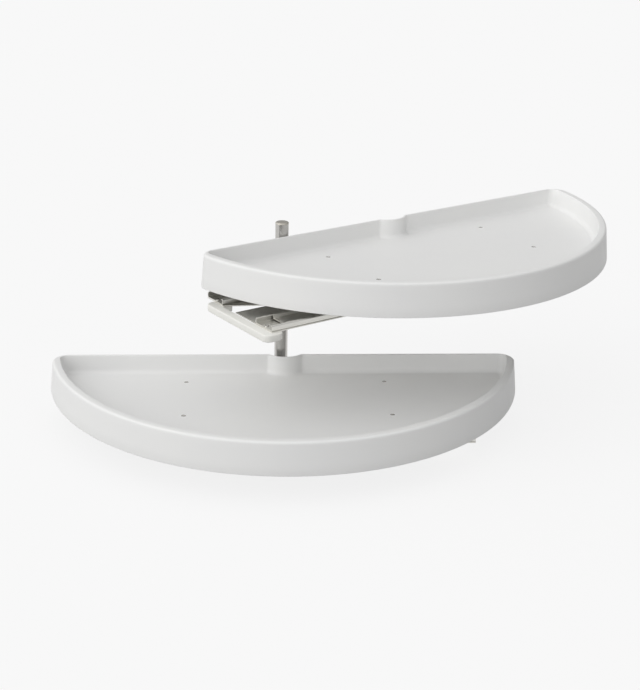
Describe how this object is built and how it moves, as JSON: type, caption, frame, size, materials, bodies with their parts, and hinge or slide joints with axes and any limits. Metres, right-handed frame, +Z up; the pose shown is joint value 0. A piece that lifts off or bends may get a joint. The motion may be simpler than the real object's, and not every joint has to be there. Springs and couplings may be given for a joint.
{
  "type": "corner carousel cabinet fitting",
  "caption": "Half-moon corner carousel in tiers: moulded trays that swing round a plated pole and slide out on ball-bearing rails.",
  "frame": {"origin": "centre of the foot's underside, on the cabinet floor", "axes": "+Z up along the pole; +X along the lower tray's straight back edge; -Y towards its round front"},
  "size_m": [0.9499, 0.669, 0.326],
  "materials": {
    "tray_polymer": "satin moulded, off-white",
    "bar_polymer": "satin moulded, warm white",
    "pole_chrome": "bright plated",
    "plated_steel": "bright plated sheet",
    "bearer_steel": "zinc plated sheet",
    "turned_steel": "turned and plated",
    "cap_steel": "turned end face",
    "fastener_steel": "zinc plated",
    "nylon": "plain nylon"
  },
  "bodies": {
    "stand": {"floor_flange": "turned_steel", "pole": "pole_chrome", "pole_cap": "cap_steel", "upper_support_collar": "turned_steel", "thrust_washers": "nylon", "retaining_clips": "fastener_steel", "grub_screws": "fastener_steel"},
    "lower_carriage": {"lower_hub": "turned_steel", "lower_hub_bushes": "nylon", "lower_swing_plate": "plated_steel", "lower_fixed_rail_back": "plated_steel", "lower_fixed_rail_front": "plated_steel", "lower_rail_rivets": "fastener_steel", "lower_cross_bar": "bar_polymer", "lower_cross_bar_screws": "fastener_steel"},
    "lower_middle_rails": {"lower_middle_rail_back": "plated_steel", "lower_middle_rail_front": "plated_steel", "lower_ball_cage_back": "fastener_steel", "lower_ball_cage_front": "fastener_steel"},
    "lower_tray_unit": {"lower_tray": "tray_polymer", "lower_tray_screws": "fastener_steel", "lower_tray_nuts": "fastener_steel", "lower_tray_rail_back": "plated_steel", "lower_tray_rail_front": "plated_steel", "lower_bearer_left": "bearer_steel", "lower_bearer_right": "bearer_steel", "lower_bearer_rivets": "fastener_steel"},
    "upper_carriage": {"upper_hub": "turned_steel", "upper_hub_bushes": "nylon", "upper_swing_plate": "plated_steel", "upper_fixed_rail_back": "plated_steel", "upper_fixed_rail_front": "plated_steel", "upper_rail_rivets": "fastener_steel", "upper_cross_bar": "bar_polymer", "upper_cross_bar_screws": "fastener_steel"},
    "upper_middle_rails": {"upper_middle_rail_back": "plated_steel", "upper_middle_rail_front": "plated_steel", "upper_ball_cage_back": "fastener_steel", "upper_ball_cage_front": "fastener_steel"},
    "upper_tray_unit": {"upper_tray": "tray_polymer", "upper_tray_screws": "fastener_steel", "upper_tray_nuts": "fastener_steel", "upper_tray_rail_back": "plated_steel", "upper_tray_rail_front": "plated_steel", "upper_bearer_left": "bearer_steel", "upper_bearer_right": "bearer_steel", "upper_bearer_rivets": "fastener_steel"}
  },
  "joints": [
    {"name": "lower_swing", "type": "hinge", "parent": "stand", "child": "lower_carriage", "pos_m": [0, 0, 0.03225], "axis": [0, 0, 1], "continuous": true},
    {"name": "lower_slide_out", "type": "slide", "parent": "lower_carriage", "child": "lower_tray_unit", "axis": [1, 0, 0], "range_m": [-0.0065, 0.2475]},
    {"name": "lower_rail_creep", "type": "slide", "parent": "lower_carriage", "child": "lower_middle_rails", "axis": [1, 0, 0], "range_m": [-0.00085, 0.03218]},
    {"name": "upper_swing", "type": "hinge", "parent": "stand", "child": "upper_carriage", "pos_m": [0, 0, 0.23805], "axis": [0, 0, 1], "continuous": true},
    {"name": "upper_slide_out", "type": "slide", "parent": "upper_carriage", "child": "upper_tray_unit", "axis": [0.8499, 0.527, 0], "range_m": [-0.2166, 0.0374]},
    {"name": "upper_rail_creep", "type": "slide", "parent": "upper_carriage", "child": "upper_middle_rails", "axis": [0.8499, 0.527, 0], "range_m": [-0.02816, 0.00486]}
  ],
  "couplings": [
    {"joint": "lower_rail_creep", "follows": "lower_slide_out", "ratio": 0.13},
    {"joint": "upper_rail_creep", "follows": "upper_slide_out", "ratio": 0.13}
  ]
}
